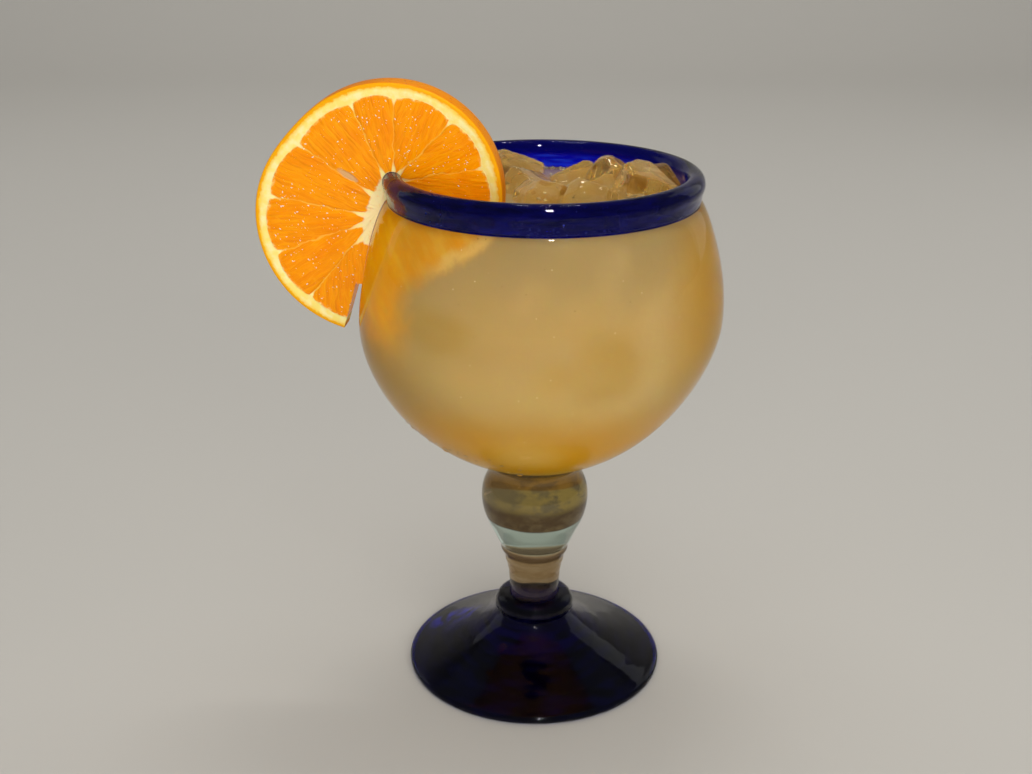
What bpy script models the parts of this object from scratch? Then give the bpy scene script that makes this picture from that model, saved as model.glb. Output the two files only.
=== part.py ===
"""Margarita in a hand-blown goblet, with ice and an orange wheel slit onto the rim.

Sizes are in millimetres and become metres when a body is finished. The origin is the middle
of the foot's underside, +Z is up, and the front faces -Y.
"""

import math
import random

import bmesh
import bpy
from mathutils import Euler, Matrix, Vector

MM = 0.001
GAP = 0.3  # left between bodies that touch
AROUND = 48  # facets round each turned body

# Cobalt foot: a shallow cone with a rounded edge, a groove and a collar
FOOT_RADIUS = 42.1
FOOT_EDGE = 2.9
FOOT_FLAT_RADIUS = 40.2
CONE_TOP = (12.2, 17.4)
GROOVE = (11.6, 18.3)
COLLAR = (13.2, 20.6)
COLLAR_TOP = 25.0

# Clear stem: a neck that swells into a bulb under the bowl
NECK_RADIUS = 8.3
BULB = (17.4, 60.5)
BULB_TOP = (14.9, 70.0)

# Clear bowl, outside, and its wall
BOWL_BOTTOM = 72.0
BELLY = (56.0, 122.5)
BOWL_TOP = (46.9, 158.5)
WALL = 3.0
BOWL_FLOOR = 77.5

# Cobalt lip: an oval roll on the bowl's edge
LIP = (44.94, 163.72)
LIP_HALF = (3.06, 3.48)

# The mouth sits a little to one side of the foot, as blown glass does
MOUTH_SHIFT = 2.2
LEAN_FROM, LEAN_TO = 92.0, 143.0

LEVEL = 158.0  # the drink's surface

# Orange wheel: outline radius as a mean and waves of (times round, height, turned to)
WHEEL_CENTRE = (-46.9, 0.0, 156.9)
WHEEL_TURN = -12.0  # its right side comes forward
WHEEL_TIP = 8.0  # its top comes forward
WHEEL_HALF = 2.8
WHEEL_RADIUS = 39.1
WHEEL_WAVES = ((1, 2.5, -99.0), (2, 3.4, 51.0), (3, 0.3, 29.0))
WHEEL_FLAT = (140.0, 26.0, 1.0)  # a flatter place: where, how wide, how deep
RIND = 1.3
PEEL = 3.7  # rind and pith together at the middle of a segment
PEEL_CORNER = 1.5  # more pith where two segments meet
FLESH_SWELL = 0.45
CORE = (0.7, -1.0)  # middle of the pith core, across and up from the wheel's centre
CORE_HALF = (12.4, 3.2)
CORE_LEAN = 65.7
# The skins between segments, each as its angle at the peel and its place round the core
SKINS = (
    (-66.0, -150.0),
    (-38.0, -115.0),
    (-8.0, -65.0),
    (22.0, -32.0),
    (48.0, -20.0),
    (77.0, 0.0),
    (100.0, 40.0),
    (142.0, 75.0),
    (178.0, 108.0),
    (207.0, 122.0),
    (232.0, 146.0),
)
LOBE_STEPS = 6  # columns of faces in each segment
SLIT_CLEAR = 0.5
SPLAY_FROM, SPLAY_TO = (-9.0, -26.0), (-15.8, -46.0)  # the outer flap's edge swings out here

# Ice that breaks the surface: name, highest point, the three edges, turned and tipped by
ICE = (
    ("ice_back_left", (-9.5, 29.5, 167.0), (36, 28, 26), (20, 20, 8)),
    ("ice_back_middle", (16.5, 27.5, 163.8), (32, 26, 24), (20, -24, 20)),
    ("ice_back_right", (23.3, 18.0, 166.9), (27, 26, 24), (34, 28, 52)),
    ("ice_right", (31.0, 7.5, 168.2), (27, 26, 24), (18, 16, 20)),
    ("ice_far_right", (39.0, 12.5, 166.4), (24, 20, 22), (35, 30, 80)),
    ("ice_front_middle", (13.0, -10.5, 166.3), (34, 28, 24), (-18, 14, -8)),
    ("ice_middle", (1.0, -5.0, 165.0), (26, 26, 22), (-12, 14, 25)),
    ("ice_middle_left", (-6.5, 10.5, 165.6), (28, 24, 24), (24, 16, 45)),
    ("ice_left_back", (-26.0, 19.0, 163.6), (34, 28, 24), (14, 18, 60)),
    ("ice_left_front", (-23.0, -24.0, 163.0), (32, 28, 24), (20, 10, 20)),
    ("ice_right_front", (29.0, -17.0, 163.6), (30, 28, 22), (14, 18, 40)),
)
ICE_APART = 0.8  # each side of the plane between two pieces
ICE_EDGE, ICE_CORNER = 1.7, 3.0  # how far edges and corners have melted back
ICE_SEED = 5
# The lowest and highest places where ice may reach the wall, as radius and height
ICE_WALL = ((45.8, 150.0), (40.4, 164.0))
ICE_WIDEST = 48.5  # its reach anywhere below


def curve(start, pull, push, end, steps):
    """Points of a cubic curve from start up to, but not including, end."""
    a, b, c, d = (Vector(p) for p in (start, pull, push, end))
    points = []
    for i in range(steps):
        t = i / steps
        s = 1 - t
        points.append(tuple(a * s**3 + b * 3 * s * s * t + c * 3 * s * t * t + d * t**3))
    return points


def lean(height):
    """How far sideways the glass has drifted at this height."""
    t = min(1.0, max(0.0, (height - LEAN_FROM) / (LEAN_TO - LEAN_FROM)))
    return MOUTH_SHIFT * t * t * (3 - 2 * t)


def turned(profile, closed=False):
    """A body turned about Z from (radius, height) points, leaning as the goblet does."""
    bm = bmesh.new()
    verts = [bm.verts.new((r, 0, z)) for r, z in profile]
    pairs = list(zip(verts, verts[1:]))
    if closed:
        pairs.append((verts[-1], verts[0]))
    edges = [bm.edges.new(pair) for pair in pairs]
    bmesh.ops.spin(
        bm, geom=verts + edges, cent=(0, 0, 0), axis=(0, 0, 1),
        angle=math.tau, steps=AROUND, use_merge=True,
    )
    bmesh.ops.remove_doubles(bm, verts=bm.verts, dist=1e-3)
    bmesh.ops.recalc_face_normals(bm, faces=bm.faces)
    for vert in bm.verts:
        vert.co.x += lean(vert.co.z)
    return bm


def material(name, colour, roughness, transmission=0.0):
    made = bpy.data.materials.new(name)
    made.use_nodes = True
    shader = made.node_tree.nodes["Principled BSDF"]
    shader.inputs["Base Color"].default_value = (*colour, 1.0)
    shader.inputs["Roughness"].default_value = roughness
    shader.inputs["Metallic"].default_value = 0.0
    shader.inputs["Transmission Weight"].default_value = transmission
    made.diffuse_color = (*colour, 1.0)
    return made


def finish(name, bm, surface=None):
    """Turn millimetres into metres and add the body to the scene."""
    bmesh.ops.triangulate(bm, faces=bm.faces)
    bmesh.ops.scale(bm, vec=(MM, MM, MM), verts=bm.verts)
    mesh = bpy.data.meshes.new(name)
    bm.to_mesh(mesh)
    bm.free()
    made = bpy.data.objects.new(name, mesh)
    bpy.context.scene.collection.objects.link(made)
    if surface:
        mesh.materials.append(surface)
    return made


def cut(target, cutter):
    """Take one closed body away from another."""
    cutter.hide_render = True
    cutter.display_type = "WIRE"
    step = target.modifiers.new("cut", "BOOLEAN")
    step.operation = "DIFFERENCE"
    step.solver = "EXACT"
    step.object = cutter


def bowl_inside(grow=0.0):
    """The inner wall from the lip down to the middle of the floor, moved inward by grow."""
    r, z = BELLY[0] - WALL - grow, BELLY[1]
    top = (BOWL_TOP[0] - WALL - grow, BOWL_TOP[1])
    floor = BOWL_FLOOR + grow
    upper = curve(top, (top[0] + 2.5, top[1] - 2), (r, z + 15), (r, z), 6)
    lower = curve((r, z), (r, z - 20), (32 - grow, floor), (0, floor), 9)
    return [*upper, *lower, (0, floor)]


def bowl_outside():
    """The outer wall from the middle of its underside up to the lip."""
    r, z = BELLY
    lower = curve((0, BOWL_BOTTOM), (33, BOWL_BOTTOM), (r, z - 20), (r, z), 10)
    upper = curve((r, z), (r, z + 15), (BOWL_TOP[0] + 2.5, BOWL_TOP[1] - 2), BOWL_TOP, 6)
    return [*lower, *upper, BOWL_TOP]


def goblet_bowl():
    return turned([*bowl_outside(), *bowl_inside()])


def goblet_stem():
    """The solid stem, its top hollowed to take the bowl's underside."""
    start = COLLAR_TOP + GAP
    neck = (NECK_RADIUS, start)
    stem = curve(neck, (NECK_RADIUS, start + 20), (BULB[0], BULB[1] - 11), BULB, 8)
    bulb = curve(BULB, (BULB[0], BULB[1] + 5.5), (BULB_TOP[0] + 0.6, BULB_TOP[1] - 3), BULB_TOP, 3)
    (_, middle), (inner, low), (outer, high) = bowl_outside()[:3]
    flare = BULB_TOP[0] + 1.1
    seat = low + (high - low) * (flare - inner) / (outer - inner)
    joint = [BULB_TOP, (BULB_TOP[0] + 0.7, BULB_TOP[1] + 2.8), (flare, seat - GAP)]
    return turned([(0, start), *stem, *bulb, *joint, (inner, low - GAP), (0, middle - GAP)])


def goblet_foot():
    edge = FOOT_EDGE / 2
    rim = [
        (FOOT_FLAT_RADIUS, 0),
        (FOOT_RADIUS - 0.4, 0.6),
        (FOOT_RADIUS, edge),
        (FOOT_RADIUS - 0.5, FOOT_EDGE - 0.5),
    ]
    cone = curve((FOOT_RADIUS - 1.6, FOOT_EDGE), (29, 7.2), (18, 11.6), CONE_TOP, 4)
    top = (NECK_RADIUS + 0.6, COLLAR_TOP)
    collar = curve(COLLAR, (COLLAR[0] + 0.1, 23.2), (11.2, COLLAR_TOP), top, 4)
    return turned([(0, 0), *rim, *cone, CONE_TOP, GROOVE, *collar, top, (0, COLLAR_TOP)])


def lip_profile(grow=0.0):
    """Round the lip from its outer foot over the top to its inner foot."""
    r, z = LIP
    a, b = LIP_HALF[0] + grow, LIP_HALF[1] + grow
    foot = BOWL_TOP[1] + GAP
    outer = (BOWL_TOP[0] - 0.1 + grow, foot)
    inner = (BOWL_TOP[0] - WALL + 0.1 - grow, foot)
    steps = 12
    roll = []
    for i in range(steps + 1):
        t = math.radians(-28 + 236 * i / steps)
        roll.append((r + a * math.cos(t), z + b * math.sin(t)))
    return [outer, *roll, inner]


def drink_body():
    """The drink turned to fit the bowl, up to its level."""
    wall = bowl_inside(GAP)
    above = [p for p in wall if p[1] > LEVEL][-1]
    below = [p for p in wall if p[1] <= LEVEL]
    t = (LEVEL - below[0][1]) / (above[1] - below[0][1])
    edge = below[0][0] + t * (above[0] - below[0][0])
    return turned([(0, LEVEL), (edge, LEVEL), *below])


def outline(angle, grow=0.0):
    """The wheel's radius at this many degrees, anticlockwise from the right."""
    radius = WHEEL_RADIUS + grow
    for times, height, turned_to in WHEEL_WAVES:
        radius += height * math.cos(math.radians(times * (angle - turned_to)))
    where, width, depth = WHEEL_FLAT
    return radius - depth * math.exp(-(((angle % 360 - where) / width) ** 2))


def polar(angle, radius):
    return Vector((radius * math.cos(math.radians(angle)), radius * math.sin(math.radians(angle))))


def core_point(angle):
    """A point on the core's edge, at this many degrees round its own long axis."""
    long, short = CORE_HALF
    t = math.radians(angle)
    spot = Vector((long * math.cos(t), short * math.sin(t)))
    spot.rotate(Matrix.Rotation(math.radians(CORE_LEAN), 2))
    return spot + Vector(CORE)


def wheel_columns():
    """(angle at the peel, place round the core, how far across its segment) of each column."""
    columns = []
    for i, (angle, place) in enumerate(SKINS):
        last = i + 1 == len(SKINS)
        next_angle, next_place = SKINS[0] if last else SKINS[i + 1]
        if last:
            next_angle, next_place = next_angle + 360, next_place + 360
        for k in range(LOBE_STEPS):
            s = k / LOBE_STEPS
            columns.append((angle + s * (next_angle - angle), place + s * (next_place - place), s))
    return columns


def wheel_rings():
    """Rings from the core to the rim of one face, as (across, up, height above the face)."""
    columns = wheel_columns()
    rings = [[(*core_point(place), -0.1) for _, place, _ in columns]]
    for share in (0.12, 0.45, 0.8, 0.96):
        ring = []
        for angle, place, s in columns:
            lobe = math.sin(math.pi * s) ** 0.5
            peel = PEEL + PEEL_CORNER * (1 - lobe)
            spot = core_point(place).lerp(polar(angle, outline(angle) - peel), share)
            swell = FLESH_SWELL * lobe * (1 - abs(2 * share - 0.9) ** 2)
            ring.append((*spot, swell - 0.15))
        rings.append(ring)
    for inset, height in ((PEEL - 0.5, 0.0), (RIND, 0.0), (0.35, -0.1), (0.0, -0.6)):
        rings.append([(*polar(angle, outline(angle) - inset), height) for angle, _, _ in columns])
    return rings


def wheel_matrix():
    turn = Matrix.Rotation(math.radians(WHEEL_TURN), 3, "Z")
    return turn @ Matrix.Rotation(math.radians(WHEEL_TIP), 3, "X")


def place_wheel(bm):
    bmesh.ops.rotate(bm, verts=bm.verts, cent=(0, 0, 0), matrix=wheel_matrix())
    bmesh.ops.translate(bm, verts=bm.verts, vec=WHEEL_CENTRE)


def orange_wheel():
    """The wheel before its slit is cut, with both faces in relief."""
    bm = bmesh.new()
    edges = []
    for side in (-1, 1):
        middle = bm.verts.new((CORE[0], side * (WHEEL_HALF - 0.1), CORE[1]))
        rings = [
            [bm.verts.new((across, side * (WHEEL_HALF + height), up)) for across, up, height in ring]
            for ring in wheel_rings()
        ]
        count = len(rings[0])
        for k in range(count):
            bm.faces.new((middle, rings[0][k], rings[0][(k + 1) % count]))
            for inner, outer in zip(rings, rings[1:]):
                bm.faces.new((inner[k], outer[k], outer[(k + 1) % count], inner[(k + 1) % count]))
        edges.append(rings[-1])
    front, back = edges
    for k in range(len(front)):
        n = (k + 1) % len(front)
        bm.faces.new((front[k], back[k], back[n], front[n]))
    bmesh.ops.recalc_face_normals(bm, faces=bm.faces)
    place_wheel(bm)
    return bm


def prism(points, half):
    """A closed slab in the wheel's own plane, from (across, up) points."""
    bm = bmesh.new()
    front, back = ([bm.verts.new((x, side * half, z)) for x, z in points] for side in (-1, 1))
    bm.faces.new(front)
    bm.faces.new(back)
    for k in range(len(points)):
        n = (k + 1) % len(points)
        bm.faces.new((front[k], back[k], back[n], front[n]))
    bmesh.ops.recalc_face_normals(bm, faces=bm.faces)
    place_wheel(bm)
    return bm


def wheel_pocket():
    """The room that the wheel takes in the drink."""
    points = [polar(angle, outline(angle, GAP)) for angle in range(-180, 180, 6)]
    return prism(points, WHEEL_HALF + FLESH_SWELL + GAP)


def slit():
    """The glass wall and lip, a little larger, over the part of the goblet that the wheel straddles."""
    low = WHEEL_CENTRE[2] - WHEEL_RADIUS - 16
    outside = [(r + SLIT_CLEAR, z) for r, z in bowl_outside() if z > low]
    inside = [(r - SLIT_CLEAR, z) for r, z in bowl_inside() if z > low]
    bm = bmesh.new()
    section = [*outside[:-1], *lip_profile(SLIT_CLEAR), *inside[1:]]
    verts = [bm.verts.new((-r, 0, z)) for r, z in section]
    face = bm.faces.new(verts)
    around = Matrix.Rotation(math.radians(-25), 3, "Z")
    bmesh.ops.rotate(bm, verts=verts, cent=(0, 0, 0), matrix=around)
    bmesh.ops.spin(bm, geom=[face], cent=(0, 0, 0), axis=(0, 0, 1), angle=math.radians(50), steps=12)
    bmesh.ops.recalc_face_normals(bm, faces=bm.faces)
    for vert in bm.verts:
        vert.co.x += lean(vert.co.z)
    return bm


def splay():
    """The wedge between the glass and the outer flap's edge."""
    return prism([SPLAY_FROM, SPLAY_TO, (-5.5, SPLAY_TO[1]), (-5.5, SPLAY_FROM[1])], WHEEL_HALF + 1)


def block_planes(size, draw):
    """Planes of an uneven block with its edges and corners melted back."""
    half = Vector(size) / 2
    planes = []
    for x in (-1, 0, 1):
        for y in (-1, 0, 1):
            for z in (-1, 0, 1):
                signs = Vector((x, y, z))
                parts = abs(x) + abs(y) + abs(z)
                if not parts:
                    continue
                reach = sum(abs(s) * h for s, h in zip(signs, half)) / math.sqrt(parts)
                melted = (0, ICE_EDGE, ICE_CORNER)[parts - 1] * draw.uniform(0.7, 1.3)
                normal = signs.normalized() + Vector([draw.uniform(-0.09, 0.09) for _ in range(3)])
                planes.append((normal.normalized(), reach - melted))
    return planes


def chunk(planes):
    """The convex body inside planes, each as an outward normal and a distance."""
    bm = bmesh.new()
    bmesh.ops.create_cube(bm, size=400)
    for normal, distance in planes:
        made = bmesh.ops.bisect_plane(
            bm, geom=[*bm.verts, *bm.edges, *bm.faces], dist=1e-5,
            plane_co=normal * distance, plane_no=normal, clear_outer=True,
        )
        rim = [item for item in made["geom_cut"] if isinstance(item, bmesh.types.BMEdge)]
        if rim:
            bmesh.ops.contextual_create(bm, geom=rim)
    bmesh.ops.remove_doubles(bm, verts=bm.verts, dist=0.05)
    bmesh.ops.dissolve_degenerate(bm, edges=bm.edges, dist=0.01)
    bmesh.ops.recalc_face_normals(bm, faces=bm.faces)
    return bm


def wall_planes():
    """Planes that keep ice off the glass, leaning in as the bowl does."""
    (low_r, low_z), (high_r, high_z) = ICE_WALL
    slope = (low_r - high_r) / (high_z - low_z)
    planes = []
    for step in range(24):
        angle = math.tau * step / 24
        normal = Vector((math.cos(angle), math.sin(angle), slope)).normalized()
        on_wall = Vector((math.cos(angle) * low_r + MOUTH_SHIFT, math.sin(angle) * low_r, low_z))
        planes.append((normal, normal.dot(on_wall)))
        if step % 2:
            level = Vector((math.cos(angle), math.sin(angle), 0))
            planes.append((level, ICE_WIDEST + level.x * MOUTH_SHIFT / 2))
    return planes


def wheel_plane(side):
    """The plane that keeps a piece in front (side -1) or at the back (side 1) of the wheel."""
    normal = wheel_matrix() @ Vector((0, -side, 0))
    return normal, normal.dot(Vector(WHEEL_CENTRE)) - (WHEEL_HALF + FLESH_SWELL + ICE_APART)


def ice_pieces():
    """Each piece's name and its planes, with the pieces kept apart from one another."""
    draw = random.Random(ICE_SEED)
    blocks = []
    for name, top, size, tilt in ICE:
        turn = Euler([math.radians(a) for a in tilt]).to_matrix()
        planes = [(turn @ normal, distance) for normal, distance in block_planes(size, draw)]
        shape = chunk(planes)
        highest = max((v.co.copy() for v in shape.verts), key=lambda co: co.z)
        shape.free()
        move = Vector(top) - highest
        planes = [(normal, distance + normal.dot(move)) for normal, distance in planes]
        blocks.append((name, Vector((*top[:2], 0)), planes))
    pieces = []
    for name, spot, planes in blocks:
        limits = [*planes, *wall_planes()]
        for other, far, _ in blocks:
            if other != name:
                normal = (far - spot).normalized()
                limits.append((normal, normal.dot((far + spot) / 2) - ICE_APART))
        if spot.x < -4:
            limits.append(wheel_plane(-1 if spot.y < -6 else 1))
        elif spot.y < 8:
            limits.append((Vector((-1, 0, 0)), 7.4))
        pieces.append((name, limits))
    return pieces


def pockets(pieces):
    """The room that all the ice takes in the drink, as one cutter."""
    whole = bmesh.new()
    for _, planes in pieces:
        part = chunk([(normal, distance + GAP) for normal, distance in planes])
        mesh = bpy.data.meshes.new("pocket")
        part.to_mesh(mesh)
        part.free()
        whole.from_mesh(mesh)
        bpy.data.meshes.remove(mesh)
    return whole


def main():
    for old in list(bpy.data.objects):
        bpy.data.objects.remove(old)
    clear = material("clear_glass", (0.84, 0.93, 0.91), 0.03, 0.9)
    cobalt = material("cobalt_glass", (0.006, 0.008, 0.11), 0.06)
    finish("goblet_bowl", goblet_bowl(), clear)
    finish("goblet_stem", goblet_stem(), clear.copy())
    finish("goblet_foot", goblet_foot(), cobalt)
    finish("goblet_lip", turned(lip_profile(), closed=True), cobalt.copy())
    flesh = material("orange_flesh", (0.92, 0.36, 0.02), 0.35)
    wheel = finish("orange_wheel", orange_wheel(), flesh)
    cut(wheel, finish("slit_cutter", slit()))
    cut(wheel, finish("splay_cutter", splay()))
    ice = material("ice", (0.62, 0.5, 0.3), 0.12, 0.5)
    pieces = ice_pieces()
    for name, planes in pieces:
        finish(name, chunk(planes), ice.copy())
    drink = finish("drink", drink_body(), material("drink", (0.56, 0.38, 0.13), 0.2))
    cut(drink, finish("ice_pocket_cutter", pockets(pieces)))
    cut(drink, finish("wheel_pocket_cutter", wheel_pocket()))


main()
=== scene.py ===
"""A margarita on ice in a hand-blown goblet, with an orange wheel slit onto its lip.

Sizes are in millimetres and become metres when a piece is finished, in the CAD model's own frame:
the origin is the middle of the foot's underside, +Z is up and the front faces -Y.
"""

import math

import bmesh
import bpy
from bpy.props import FloatProperty, FloatVectorProperty, IntProperty, PointerProperty
from mathutils import Matrix, Vector, noise
from mathutils.kdtree import KDTree


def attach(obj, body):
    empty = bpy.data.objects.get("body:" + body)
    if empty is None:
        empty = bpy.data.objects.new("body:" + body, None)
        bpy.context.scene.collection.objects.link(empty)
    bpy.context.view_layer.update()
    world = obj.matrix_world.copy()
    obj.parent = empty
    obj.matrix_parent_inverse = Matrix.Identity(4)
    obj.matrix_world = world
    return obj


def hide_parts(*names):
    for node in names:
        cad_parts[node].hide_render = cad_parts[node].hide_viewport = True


bl_info = {
    "name": "Margarita goblet",
    "version": (1, 0, 0),
    "blender": (4, 5, 0),
    "location": "3D View > Sidebar > Margarita",
    "description": "Goblet, drink, ice and orange wheel, built round the packed CAD model",
    "category": "Object",
}

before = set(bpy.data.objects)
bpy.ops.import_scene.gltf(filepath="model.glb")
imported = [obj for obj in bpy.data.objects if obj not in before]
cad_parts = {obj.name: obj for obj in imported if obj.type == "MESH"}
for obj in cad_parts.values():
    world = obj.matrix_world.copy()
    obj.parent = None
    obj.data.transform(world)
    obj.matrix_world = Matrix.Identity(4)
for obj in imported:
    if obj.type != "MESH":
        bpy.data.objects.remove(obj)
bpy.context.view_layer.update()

MM = 0.001
AROUND = 160  # steps round each turned piece

# Cobalt foot
FOOT_RADIUS = 42.1
FOOT_EDGE = 2.9
FOOT_FLAT_RADIUS = 40.2
CONE_TOP = (12.2, 17.4)
GROOVE = (11.6, 18.3)
COLLAR = (13.2, 20.6)
COLLAR_TOP = 25.0

# Clear stem
NECK_RADIUS = 8.3
BULB = (17.4, 60.5)
BULB_TOP = (14.9, 70.0)
NECK_RINGS = ((41.4, 0.9, 0.3), (43.3, 1.1, -0.25), (37.4, 0.6, 0.16), (33.0, 0.8, -0.1))
# Heights of the painted reflection bands in the stem glass: a dark arc, the aqua's start, and the
# brown band and olive above it
DARK_ARC = 41.2
AQUA_FROM = (42.9, 43.6)
BROWN_FROM = (53.8, 54.5)
OLIVE_FROM = (59.5, 63.0)

# Clear bowl
BOWL_BOTTOM = 72.0
BELLY = (56.0, 122.5)
BOWL_TOP = (46.9, 158.5)
WALL = 3.0
BOWL_FLOOR = 77.5

# Cobalt lip
LIP = (44.94, 163.72)
LIP_HALF = (3.06, 3.48)

# The mouth has drifted a little to one side, as blown glass does
MOUTH_SHIFT = 2.2
LEAN_FROM, LEAN_TO = 92.0, 143.0

LEVEL = 158.0  # the drink's surface
REACH = 0.4  # how far one piece goes into the glass that it touches
GLOW_LINE = (-12.0, 158.5)  # where the wheel's painted glow on the drink ends, across and up
SPARK = (-3.0, -39.0, 89.7)  # a painted sparkle of light on the drink, low at the front

# Orange wheel
WHEEL_CENTRE = (-46.9, 0.0, 156.9)
WHEEL_TURN = -12.0
WHEEL_TIP = 8.0
WHEEL_HALF = 2.8
WHEEL_RADIUS = 39.1
WHEEL_WAVES = ((1, 2.5, -99.0), (2, 3.4, 51.0), (3, 0.3, 29.0))
WHEEL_FLAT = (140.0, 26.0, 1.0)
RIND = 1.3
PEEL = 3.7
PEEL_CORNER = 1.5
CORE = (0.7, -1.0)
CORE_HALF = (12.4, 3.2)
CORE_LEAN = 65.7
SKINS = (
    (-66.0, -150.0),
    (-38.0, -115.0),
    (-8.0, -65.0),
    (22.0, -32.0),
    (48.0, -20.0),
    (77.0, 0.0),
    (100.0, 40.0),
    (142.0, 75.0),
    (178.0, 108.0),
    (207.0, 122.0),
    (232.0, 146.0),
)
LOBE_STEPS = 20
PEEL_EDGE = ((0.8, 0.0, 2.3), (0.35, -0.08, 2.7), (0.12, -0.3, 2.95), (0.03, -0.7, 3.2))
HOLLOW = (-56.0, 165.6)  # painted shade of a hollow between two segments, across and up
SLIT_CLEAR = 0.12
SPLAY_FROM, SPLAY_TO = (-9.0, -26.0), (-15.8, -46.0)

ICE_NODES = sorted(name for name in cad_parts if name.startswith("ice_"))


# Settings


def length(name, description, millimetres):
    """A length that a user sees in metres."""
    return FloatProperty(
        name=name, description=description, default=millimetres * MM, min=0, unit="LENGTH"
    )


def colour(name, description, value):
    return FloatVectorProperty(
        name=name, description=description, default=value, subtype="COLOR", size=3, min=0, max=1
    )


class MargaritaGlass(bpy.types.PropertyGroup):
    clear: colour("Clear glass", "Tint of the bowl", (0.96, 0.97, 0.93))
    stem: colour("Thick glass", "Tint of the clear part of the stem", (0.56, 0.68, 0.6))
    cobalt: colour("Cobalt glass", "What the lip's glass lets through", (0.012, 0.08, 0.855))
    lip_depth: FloatProperty(
        name="Lip depth", description="How strongly the lip takes up light", default=1500, min=0
    )
    foot_depth: FloatProperty(
        name="Foot depth", description="How strongly the foot takes up light", default=1500, min=0
    )
    ripple: length("Ripple", "How far the blown surface wanders", 0.12)


class MargaritaDrink(bpy.types.PropertyGroup):
    body: colour("Drink", "Cloudy drink in the middle of the bowl", (0.47, 0.315, 0.112))
    # Painted shade: the deeper golden drink towards the bottom
    low: colour("Low drink", "Drink towards the bottom and the wall", (0.56, 0.26, 0.003))
    creep: length("Creep", "How far the drink climbs the glass", 0.9)


class MargaritaIce(bpy.types.PropertyGroup):
    tint: colour("Ice", "Tint of the wet ice", (0.76, 0.55, 0.2))
    melt: length("Melt", "How far the surface wanders", 0.28)
    grid: length("Grid", "Size of the cells that round the edges", 0.65)


class MargaritaOrange(bpy.types.PropertyGroup):
    flesh: colour("Flesh", "Juice sacs", (0.92, 0.3, 0.0))
    pith: colour("Pith", "Pith and core", (1.0, 0.78, 0.2))
    peel: colour("Peel", "Outer peel", (0.87, 0.28, 0.001))
    sacs: length("Sacs", "Depth of the juice sacs' relief", 0.22)


class MargaritaBeads(bpy.types.PropertyGroup):
    seed: IntProperty(name="Seed", description="Where bubbles and drops fall", default=7, min=0)
    bubble: length("Bubble", "Radius of the largest bubble", 0.75)
    drop: length("Drop", "Radius of the largest drop", 1.15)
    # The juice beads are opaque and near-white: painted glints
    juice: length("Juice", "Radius of the largest bead of juice on the flesh", 0.18)


class MargaritaStage(bpy.types.PropertyGroup):
    floor: colour("Floor", "Plain floor and backdrop", (0.58, 0.565, 0.53))
    key: FloatProperty(name="Key", description="Front light", default=9.6, min=0, unit="POWER")
    top: FloatProperty(name="Top", description="Light from above", default=2.0, min=0, unit="POWER")
    side: FloatProperty(name="Side", description="Side lights", default=0.45, min=0, unit="POWER")
    lens: FloatProperty(
        name="Lens", description="The camera's focal length in mm", default=47.37, min=1
    )


# Materials


class Value:
    """A number on its way through a material, on which a sum adds its Math nodes."""

    def __init__(self, shader, socket):
        self.shader = shader
        self.socket = socket

    def sum(self, operation, *terms):
        return self.shader.node("ShaderNodeMath", {"operation": operation}, dict(enumerate(terms)))

    def __add__(self, other):
        return self.sum("ADD", self, other)

    def __radd__(self, other):
        return self.sum("ADD", other, self)

    def __sub__(self, other):
        return self.sum("SUBTRACT", self, other)

    def __rsub__(self, other):
        return self.sum("SUBTRACT", other, self)

    def __mul__(self, other):
        return self.sum("MULTIPLY", self, other)

    def __rmul__(self, other):
        return self.sum("MULTIPLY", other, self)

    def __truediv__(self, other):
        return self.sum("DIVIDE", self, other)

    def __rtruediv__(self, other):
        return self.sum("DIVIDE", other, self)

    def __pow__(self, other):
        return self.sum("POWER", self, other)

    def __abs__(self):
        return self.sum("ABSOLUTE", self)

    def fraction(self):
        return self.sum("FRACT", self)


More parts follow.
